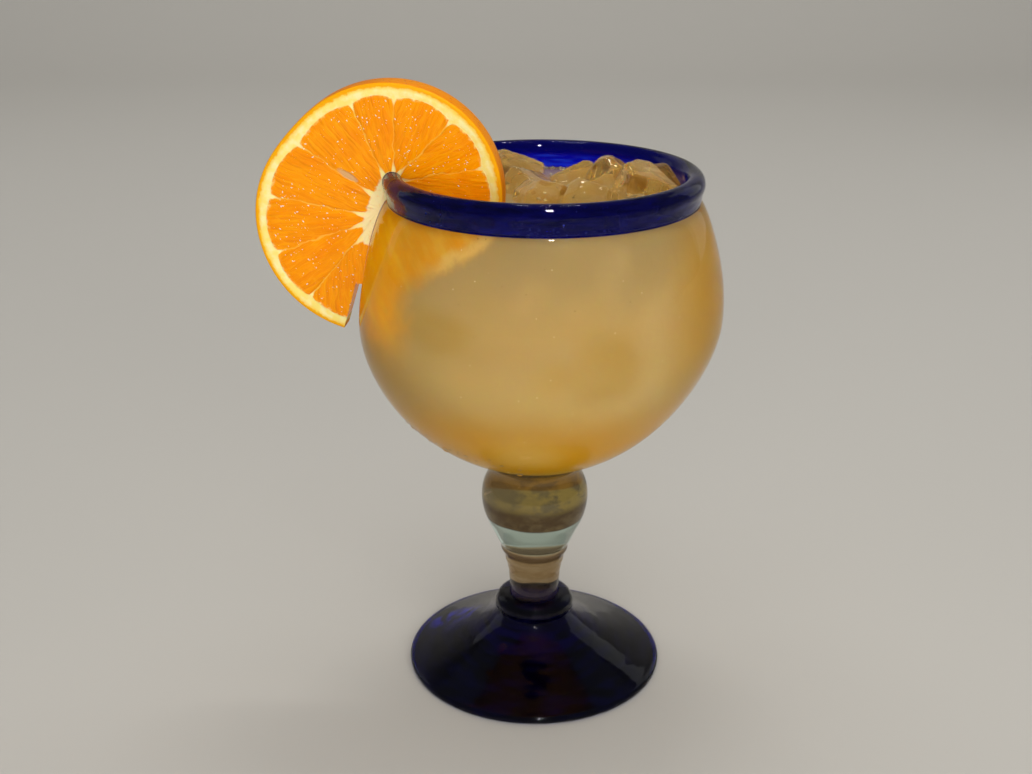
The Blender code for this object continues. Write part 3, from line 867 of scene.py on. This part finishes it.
def ice_piece(node, settings, surface):
    """A CAD piece with its edges melted round and its faces uneven."""
    bm = bmesh.new()
    bm.from_mesh(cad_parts[node].data)
    bmesh.ops.scale(bm, vec=(1 / MM,) * 3, verts=bm.verts)
    bmesh.ops.remove_doubles(bm, verts=bm.verts, dist=0.001)
    for vert in bm.verts:
        vert.co += vert.normal * 0.25
    piece = finish("melting_" + node, bm, surface, smooth=False)
    step = piece.modifiers.new("cells", "REMESH")
    step.mode = "VOXEL"
    step.voxel_size = settings.grid
    step = piece.modifiers.new("round", "SMOOTH")
    step.factor = 0.5
    step.iterations = 2
    settle(piece)
    size = settings.melt / MM
    for vert in piece.data.vertices:
        spot = vert.co / MM
        wave = noise.noise(spot * 0.14) + 0.45 * noise.noise(spot * 0.42)
        vert.co += vert.normal * wave * size * MM
    piece.data.shade_smooth()
    piece.visible_shadow = False
    stand_for(piece, node, slot="ice")


# Orange wheel


def wheel_columns():
    """(angle at the peel, place round the core, segment, share across it) of each column."""
    columns = []
    for i, (angle, place) in enumerate(SKINS):
        last = i + 1 == len(SKINS)
        next_angle, next_place = SKINS[0] if last else SKINS[i + 1]
        if last:
            next_angle, next_place = next_angle + 360, next_place + 360
        for k in range(LOBE_STEPS):
            s = k / LOBE_STEPS
            at = angle + s * (next_angle - angle)
            columns.append((at, place + s * (next_place - place), i, s))
    return columns


def flesh_spot(angle, place, s, share):
    lobe = math.sin(math.pi * s) ** 0.5
    peel = PEEL + PEEL_CORNER * (1 - lobe)
    return core_point(place).lerp(polar(angle, outline(angle) - peel), share), lobe, peel


def segment_girth(segment, share):
    """Millimetres across a segment, this far out from the core."""
    angle_a, place_a = SKINS[segment]
    last = segment + 1 == len(SKINS)
    angle_b, place_b = SKINS[0] if last else SKINS[segment + 1]
    if last:
        angle_b, place_b = angle_b + 360, place_b + 360
    sides = [flesh_spot(a, p, 0, share)[0] for a, p in ((angle_a, place_a), (angle_b, place_b))]
    return (sides[0] - sides[1]).length


def wheel_rings(settings):
    """Rings from the core to the rim of one face, as lists of (across, up, height, out, girth)."""
    columns = wheel_columns()
    rings = [[(*core_point(c[1]), -0.1, 0.0, segment_girth(c[2], 0.0)) for c in columns]]
    steps = 24
    for k in range(1, steps + 1):
        share = k / steps
        girths = [segment_girth(i, share) for i in range(len(SKINS))]
        ring = []
        for angle, place, i, s in columns:
            spot, lobe, _ = flesh_spot(angle, place, s, share)
            swell = 0.45 * lobe * (1 - abs(2 * share - 0.9) ** 2)
            sac = noise.noise(Vector(((i + s) * 6.5, share * 4.5, 3.0)))
            sac += 0.5 * noise.noise(Vector(((i + s) * 15.0, share * 11.0, 9.0)))
            skin = girths[i] * min(s, 1 - s)
            sac *= settings.sacs / MM * min(1.0, skin / 1.5) * min(1, 6 * (1 - share))
            height = swell - 0.15 + sac
            ring.append((*spot, height, share, girths[i]))
        rings.append(ring)
    for k in (1, 2, 3):
        ring = []
        for angle, place, i, s in columns:
            peel = flesh_spot(angle, place, s, 1.0)[2]
            inset = peel + (RIND - peel) * k / 3
            ring.append((*polar(angle, outline(angle) - inset), 0.0, 1 + k / 3, girths[i]))
        rings.append(ring)
    for inset, height, out in PEEL_EDGE:
        rings.append(
            [(*polar(c[0], outline(c[0]) - inset), height, out, girths[c[2]]) for c in columns]
        )
    return rings


def wheel_body(settings):
    """The whole wheel with its map, before its slit is cut."""
    bm = bmesh.new()
    uv = bm.loops.layers.uv.new("wheel")
    girth_layer = bm.verts.layers.float.new("girth")
    places = {}
    columns = wheel_columns()
    count = len(columns)

    def vertex(x, y, z, out, girth):
        made = bm.verts.new((x, y, z))
        made[girth_layer] = girth
        places[made] = out
        return made

    def face(corners, across):
        made = bm.faces.new(corners)
        for loop, u in zip(made.loops, across):
            loop[uv].uv = (u, places[loop.vert])

    rims = []
    for side in (-1, 1):
        middle = vertex(CORE[0], side * (WHEEL_HALF - 0.1), CORE[1], 0.0, 3.0)
        rings = [
            [vertex(x, side * (WHEEL_HALF + h), z, out, girth) for x, z, h, out, girth in ring]
            for ring in wheel_rings(settings)
        ]
        for k in range(count):
            n = (k + 1) % count
            u0 = columns[k][2] + columns[k][3]
            u1 = u0 + 1 / LOBE_STEPS
            face((middle, rings[0][k], rings[0][n]), (u0, u0, u1))
            for inner, outer in zip(rings, rings[1:]):
                face((inner[k], outer[k], outer[n], inner[n]), (u0, u0, u1, u1))
        rims.append(rings[-1])
    front, back = rims
    bands = [front]
    for share in (0.25, 0.5, 0.75):
        band = []
        for (angle, _, _, _), a, b in zip(columns, front, back):
            spot = a.co.lerp(b.co, share)
            spot += Vector((spot.x, 0, spot.z)).normalized() * 0.1 * math.sin(math.pi * share)
            band.append(vertex(*spot, 4.0, 3.0))
        bands.append(band)
    bands.append(back)
    for low, high in zip(bands, bands[1:]):
        for k in range(count):
            n = (k + 1) % count
            u0 = columns[k][2] + columns[k][3]
            u1 = u0 + 1 / LOBE_STEPS
            face((low[k], high[k], high[n], low[n]), (u0, u0, u1, u1))
    bmesh.ops.recalc_face_normals(bm, faces=bm.faces)
    place_wheel(bm)
    return bm


def slit_cutter():
    """The glass wall and lip, a little larger, where the wheel straddles the goblet."""
    low = WHEEL_CENTRE[2] - WHEEL_RADIUS - 16
    outside = [(r + SLIT_CLEAR, z) for r, z in bowl_outside(12) if z > low]
    inside = [(r - SLIT_CLEAR, z) for r, z in bowl_inside(0, 12) if z > low]
    section = [*outside[:-1], *lip_profile(SLIT_CLEAR, steps=16), *inside[1:]]
    bm = bmesh.new()
    verts = [bm.verts.new((-r, 0, z)) for r, z in section]
    face = bm.faces.new(verts)
    around = Matrix.Rotation(math.radians(-25), 3, "Z")
    bmesh.ops.rotate(bm, verts=verts, cent=(0, 0, 0), matrix=around)
    sweep = math.radians(50)
    bmesh.ops.spin(bm, geom=[face], cent=(0, 0, 0), axis=(0, 0, 1), angle=sweep, steps=16)
    bmesh.ops.recalc_face_normals(bm, faces=bm.faces)
    for vert in bm.verts:
        vert.co.x += lean(vert.co.z)
    return bm


def splay_cutter():
    """The wedge between the glass and the outer flap's edge."""
    points = [SPLAY_FROM, SPLAY_TO, (-5.5, SPLAY_TO[1]), (-5.5, SPLAY_FROM[1])]
    bm = bmesh.new()
    half = WHEEL_HALF + 1
    front, back = ([bm.verts.new((x, side * half, z)) for x, z in points] for side in (-1, 1))
    bm.faces.new(front)
    bm.faces.new(back)
    for k in range(len(points)):
        n = (k + 1) % len(points)
        bm.faces.new((front[k], back[k], back[n], front[n]))
    bmesh.ops.recalc_face_normals(bm, faces=bm.faces)
    place_wheel(bm)
    return bm


def carry_map(piece, whole):
    """Give the faces that were cut open the map of the nearest flesh, pith or peel."""
    spots, places, girths = whole
    tree = KDTree(len(spots))
    for index, spot in enumerate(spots):
        tree.insert(spot, index)
    tree.balance()
    mesh = piece.data
    layer = mesh.uv_layers["wheel"].data
    girth = mesh.attributes["girth"].data
    for polygon in mesh.polygons:
        if any(layer[loop].uv.length > 1e-6 for loop in polygon.loop_indices):
            continue
        for loop, vert in zip(polygon.loop_indices, polygon.vertices):
            index = tree.find(mesh.vertices[vert].co)[1]
            layer[loop].uv = places[index]
            if girth[vert].value < 0.01:
                girth[vert].value = girths[index]


def orange_wheel(settings):
    surface = orange_wheel_finish(settings)
    piece = finish("orange_slice", wheel_body(settings), surface)
    mesh = piece.data
    places = [(0.0, 0.0)] * len(mesh.vertices)
    for loop, corner in zip(mesh.loops, mesh.uv_layers["wheel"].data):
        places[loop.vertex_index] = tuple(corner.uv)
    girths = [item.value for item in mesh.attributes["girth"].data]
    whole = [vert.co.copy() for vert in mesh.vertices], places, girths
    for name, cutter in (("splay", splay_cutter()), ("slit", slit_cutter())):
        boolean(piece, finish(name, cutter, surface, smooth=False))
    carry_map(piece, whole)
    piece.data.shade_smooth()
    piece.data.set_sharp_from_angle(angle=math.radians(55))
    stand_for(piece, "orange_wheel", slot="orange_wheel")


# Bubbles, drops and seeds


def bead_tree():
    """Beads strewn over a surface, small ones the commonest, joined into plain mesh."""
    tree = bpy.data.node_groups.new("strewn_beads", "GeometryNodeTree")
    kinds = (
        ("Surface", "NodeSocketGeometry"),
        ("Density", "NodeSocketFloat"),
        ("Apart", "NodeSocketFloat"),
        ("Smallest", "NodeSocketFloat"),
        ("Largest", "NodeSocketFloat"),
        ("Flatness", "NodeSocketFloat"),
        ("Stretch", "NodeSocketFloat"),
        ("Patches", "NodeSocketFloat"),
        ("Seed", "NodeSocketInt"),
        ("Finish", "NodeSocketMaterial"),
    )
    for name, kind in kinds:
        tree.interface.new_socket(name, in_out="INPUT", socket_type=kind)
    tree.interface.new_socket("Beads", in_out="OUTPUT", socket_type="NodeSocketGeometry")

    def node(kind, settings=None, inputs=None):
        made = tree.nodes.new(kind)
        for key, value in (settings or {}).items():
            setattr(made, key, value)
        for key, value in (inputs or {}).items():
            if isinstance(value, bpy.types.NodeSocket):
                tree.links.new(value, made.inputs[key])
            else:
                made.inputs[key].default_value = value
        return made.outputs

    given = node("NodeGroupInput")
    patchy = node("ShaderNodeTexNoise", None, {"Scale": given["Patches"], "Detail": 1.0})[0]
    smooth = {"interpolation_type": "SMOOTHSTEP"}
    share = node("ShaderNodeMapRange", smooth, {0: patchy, 1: 0.4, 2: 0.62})[0]
    spread = node(
        "GeometryNodeDistributePointsOnFaces",
        {"distribute_method": "POISSON"},
        {
            "Mesh": given["Surface"],
            "Distance Min": given["Apart"],
            "Density Max": given["Density"],
            "Density Factor": share,
            "Seed": given["Seed"],
        },
    )
    chance = node("FunctionNodeRandomValue", {"data_type": "FLOAT"}, {"Seed": given["Seed"]})[1]
    rare = node("ShaderNodeMath", {"operation": "POWER"}, {0: chance, 1: 3.0})[0]
    between = {"Value": rare, "To Min": given["Smallest"], "To Max": given["Largest"]}
    size = node("ShaderNodeMapRange", None, between)[0]
    thick = node("ShaderNodeMath", {"operation": "MULTIPLY"}, {0: size, 1: given["Flatness"]})[0]
    long = node("ShaderNodeMath", {"operation": "MULTIPLY"}, {0: size, 1: given["Stretch"]})[0]
    scale = node("ShaderNodeCombineXYZ", None, {0: size, 1: long, 2: thick})[0]
    twist = node(
        "FunctionNodeRandomValue",
        {"data_type": "FLOAT_VECTOR"},
        {0: (0.0, 0.0, 0.0), 1: (0.0, 0.0, math.tau), "Seed": given["Seed"]},
    )[0]
    turned_to = node(
        "FunctionNodeRotateRotation",
        {"rotation_space": "LOCAL"},
        {"Rotation": spread["Rotation"], "Rotate By": twist},
    )[0]
    ball = {"Segments": 8, "Rings": 5, "Radius": 1.0}
    bead = node("GeometryNodeMeshUVSphere", None, ball)["Mesh"]
    placed = node(
        "GeometryNodeInstanceOnPoints",
        None,
        {"Points": spread["Points"], "Instance": bead, "Rotation": turned_to, "Scale": scale},
    )[0]
    real = node("GeometryNodeRealizeInstances", None, {0: placed})[0]
    soft = node("GeometryNodeSetShadeSmooth", None, {0: real})[0]
    done = node("GeometryNodeSetMaterial", None, {"Geometry": soft, "Material": given["Finish"]})[0]
    node("NodeGroupOutput", None, {0: done})
    return tree


def strew(name, surface_mesh, tree, surface, values):
    """A piece of beads on the faces of a mesh, whose own faces are left out."""
    piece = finish(name, surface_mesh, surface)
    step = piece.modifiers.new("beads", "NODES")
    step.node_group = tree
    values = {"Stretch": 1.0, "Patches": 60.0, **values, "Finish": surface}
    for item in tree.interface.items_tree:
        if item.name in values and item.in_out == "INPUT":
            step[item.identifier] = values[item.name]
    settle(piece)
    stand_for(piece)


def band(profile, start, end, steps=24):
    """A strip of a turned surface between two angles in degrees."""
    bm = bmesh.new()
    rows = []
    for r, z in profile:
        row = []
        for k in range(steps + 1):
            a = math.radians(start + (end - start) * k / steps)
            row.append(bm.verts.new((r * math.cos(a) + lean(z), r * math.sin(a), z)))
        rows.append(row)
    for low, high in zip(rows, rows[1:]):
        for k in range(steps):
            bm.faces.new((low[k], low[k + 1], high[k + 1], high[k]))
    return bm


def cut_flesh():
    """The wheel's flesh as a surface for its beads of juice."""
    bm = bmesh.new()
    bm.from_mesh(bpy.data.objects["orange_slice"].data)
    uv = bm.loops.layers.uv["wheel"]
    dry = [
        face
        for face in bm.faces
        if not all(0.12 < loop[uv].uv.y < 0.97 for loop in face.loops)
        or abs((wheel_matrix().inverted() @ face.normal).y) < 0.6
    ]
    bmesh.ops.delete(bm, geom=dry, context="FACES")
    bmesh.ops.scale(bm, vec=(1 / MM,) * 3, verts=bm.verts)
    return bm


def bubbles_and_drops(settings):
    tree = bead_tree()
    # Painted glints: the juice beads are opaque and near-white
    juice = bead_finish("juice", (1.0, 0.95, 0.82), 0.0, 1.36, 0.05)
    froth = bead_finish("froth", (0.93, 0.84, 0.64), 0.6, 1.2, 0.05)
    water = bead_finish("water_drops", (0.97, 0.98, 0.98), 1.0, 1.33, 0.0)
    air = bead_finish("air_seeds", (0.93, 0.95, 1.0), 0.0, 1.5, 0.1)
    edge = band([(44.2, LEVEL + 0.5), (43.4, LEVEL + 0.15), (42.0, LEVEL)], 0, 360, 96)
    top = band([(42.0, LEVEL + 0.1), (2.0, LEVEL + 0.1)], 0, 360, 48)
    low_wall = band([p for p in bowl_outside(30) if 79 < p[1] < 96], 190, 262)
    in_lip = band(lip_profile(-1.2, steps=12), 0, 360, 72)
    in_bulb = band(curve((9.0, 40), (11, 50), (14.5, 52), (14.0, 62), 8), 0, 360, 40)
    big, drop, fine = settings.bubble, settings.drop, settings.juice
    sizes = ("Density", "Apart", "Smallest", "Largest", "Flatness", "Stretch", "Patches")
    strewn = (
        ("juice_beads", cut_flesh(), juice, 5, (480000.0, 0.0005, fine * 0.2, fine, 0.6, 2.2, 190.0)),
        ("froth_ring", edge, froth, 0, (900000.0, big * 1.1, big * 0.35, big, 0.8)),
        ("surface_bubbles", top, froth, 1, (60000.0, big * 1.6, big * 0.3, big * 0.9, 0.8)),
        ("glass_drops", low_wall, water, 2, (90000.0, drop * 2.1, drop * 0.3, drop, 0.5)),
        ("lip_seeds", in_lip, air, 3, (9000.0, 0.002, 0.00012, 0.0004, 0.9)),
        ("stem_seeds", in_bulb, air, 4, (20000.0, 0.0015, 0.0001, 0.0003, 0.9)),
    )
    for name, shape, surface, seed, values in strewn:
        values = {**dict(zip(sizes, values)), "Seed": settings.seed + seed}
        strew(name, shape, tree, surface, values)


# Stage


def backdrop(settings):
    """A floor that curves up into a plain wall behind."""
    profile = [(-2.2, 0.0), (1.3, 0.0)]
    for k in range(1, 13):
        a = math.radians(90 * k / 12)
        profile.append((1.3 + 0.6 * math.sin(a), 0.6 * (1 - math.cos(a))))
    profile.append((1.9, 2.6))
    bm = bmesh.new()
    rows = [[bm.verts.new((x, y, z)) for x in (-3.0, 3.0)] for y, z in profile]
    for low, high in zip(rows, rows[1:]):
        bm.faces.new((low[0], low[1], high[1], high[0]))
    bmesh.ops.scale(bm, vec=(1 / MM,) * 3, verts=bm.verts)
    floor = finish("pale_floor", bm, stage_finish(settings))


def softbox(name, place, size, power, shade, mirrored=True, aim=(0, 0, 0.1)):
    light = bpy.data.lights.new(name, "AREA")
    light.shape = "RECTANGLE"
    light.size, light.size_y = size
    light.energy = power
    light.color = shade
    made = bpy.data.objects.new(name, light)
    made.location = place
    made.rotation_euler = (Vector(aim) - made.location).to_track_quat("-Z", "Y").to_euler()
    made.visible_glossy = made.visible_transmission = mirrored
    bpy.context.scene.collection.objects.link(made)
    return made


def camera(settings):
    data = bpy.data.cameras.new("camera")
    data.lens = settings.lens
    data.sensor_width = 36.0
    data.clip_start = 0.01
    made = bpy.data.objects.new("camera", data)
    made.location = (-0.0061, -0.3998, 0.2529)
    made.rotation_euler = (math.radians(68.754), 0, 0)
    bpy.context.scene.collection.objects.link(made)
    bpy.context.scene.camera = made


def daylight():
    world = bpy.data.worlds.new("soft_studio")
    world.use_nodes = True
    sky = world.node_tree.nodes["Background"]
    sky.inputs["Color"].default_value = (0.94, 0.96, 1.0, 1)
    sky.inputs["Strength"].default_value = 0.17
    bpy.context.scene.world = world


# Operators


class MARGARITA_OT_goblet(bpy.types.Operator):
    """Blow the bowl and stem, and lay on the cobalt lip and foot"""

    bl_idname = "margarita.goblet"
    bl_label = "Goblet"

    def execute(self, context):
        settings = context.scene.margarita_glass
        goblet_clear(settings)
        goblet_lip(settings)
        goblet_foot(settings)
        return {"FINISHED"}


class MARGARITA_OT_drink(bpy.types.Operator):
    """Fill the bowl with the cloudy drink"""

    bl_idname = "margarita.drink"
    bl_label = "Drink"

    def execute(self, context):
        drink_piece(context.scene.margarita_drink, context.scene.margarita_glass)
        return {"FINISHED"}


class MARGARITA_OT_ice(bpy.types.Operator):
    """Melt the edges of each piece of ice"""

    bl_idname = "margarita.ice"
    bl_label = "Ice"

    def execute(self, context):
        settings = context.scene.margarita_ice
        surface = wet_ice(settings)
        for node in ICE_NODES:
            ice_piece(node, settings, surface)
        return {"FINISHED"}


class MARGARITA_OT_orange(bpy.types.Operator):
    """Cut the orange wheel and slit it onto the lip"""

    bl_idname = "margarita.orange"
    bl_label = "Orange wheel"

    def execute(self, context):
        orange_wheel(context.scene.margarita_orange)
        return {"FINISHED"}


class MARGARITA_OT_beads(bpy.types.Operator):
    """Strew froth on the drink, drops on the glass and seeds in it"""

    bl_idname = "margarita.beads"
    bl_label = "Bubbles and drops"

    def execute(self, context):
        bubbles_and_drops(context.scene.margarita_beads)
        return {"FINISHED"}


class MARGARITA_OT_stage(bpy.types.Operator):
    """Lay the floor, hang the lights and set the camera"""

    bl_idname = "margarita.stage"
    bl_label = "Stage"

    def execute(self, context):
        settings = context.scene.margarita_stage
        backdrop(settings)
        warm, cool = (1.0, 0.97, 0.92), (0.94, 0.97, 1.0)
        softbox("key", (0.15, -0.95, 0.34), (1.2, 0.55), settings.key, warm, mirrored=False)
        softbox("fill", (0.0, -0.2, 1.0), (0.8, 0.8), settings.top, warm, mirrored=False)
        softbox("top", (0.02, 0.3, 0.95), (0.3, 0.035), settings.top * 0.5, warm)
        softbox("right", (0.75, 0.6, 0.45), (0.45, 0.7), settings.side, cool)
        softbox("left", (-0.85, 0.6, 0.45), (0.4, 0.6), settings.side * 0.7, cool)
        glint = softbox("glint", (0.05, -0.5, 0.84), (0.05, 0.05), 4.5, (1.0, 1.0, 1.0))
        glint.visible_diffuse = False
        softbox("wall", (0.0, 0.8, 1.7), (3.0, 0.9), 16.0, warm, mirrored=False, aim=(0, 1.6, 0.1))
        camera(settings)
        daylight()
        context.scene.view_settings.view_transform = "Standard"
        return {"FINISHED"}


class MARGARITA_PT_panel(bpy.types.Panel):
    """Everything that the margarita is made of"""

    bl_idname = "MARGARITA_PT_panel"
    bl_label = "Margarita"
    bl_space_type = "VIEW_3D"
    bl_region_type = "UI"
    bl_category = "Margarita"

    def draw(self, context):
        for operator, group in STEPS:
            box = self.layout.box()
            box.operator(operator.bl_idname)
            settings = getattr(context.scene, group)
            for name in settings.__annotations__:
                box.prop(settings, name)


GROUPS = {
    "margarita_glass": MargaritaGlass,
    "margarita_drink": MargaritaDrink,
    "margarita_ice": MargaritaIce,
    "margarita_orange": MargaritaOrange,
    "margarita_beads": MargaritaBeads,
    "margarita_stage": MargaritaStage,
}
STEPS = (
    (MARGARITA_OT_goblet, "margarita_glass"),
    (MARGARITA_OT_drink, "margarita_drink"),
    (MARGARITA_OT_ice, "margarita_ice"),
    (MARGARITA_OT_orange, "margarita_orange"),
    (MARGARITA_OT_beads, "margarita_beads"),
    (MARGARITA_OT_stage, "margarita_stage"),
)
CLASSES = (*GROUPS.values(), *(operator for operator, _ in STEPS), MARGARITA_PT_panel)


def register():
    for each in CLASSES:
        bpy.utils.register_class(each)
    for name, group in GROUPS.items():
        setattr(bpy.types.Scene, name, PointerProperty(type=group))


def unregister():
    for name in GROUPS:
        delattr(bpy.types.Scene, name)
    for each in reversed(CLASSES):
        bpy.utils.unregister_class(each)


def main():
    register()
    bpy.ops.margarita.goblet()
    bpy.ops.margarita.drink()
    bpy.ops.margarita.ice()
    bpy.ops.margarita.orange()
    bpy.ops.margarita.beads()
    bpy.ops.margarita.stage()


if __name__ == "__main__":
    main()
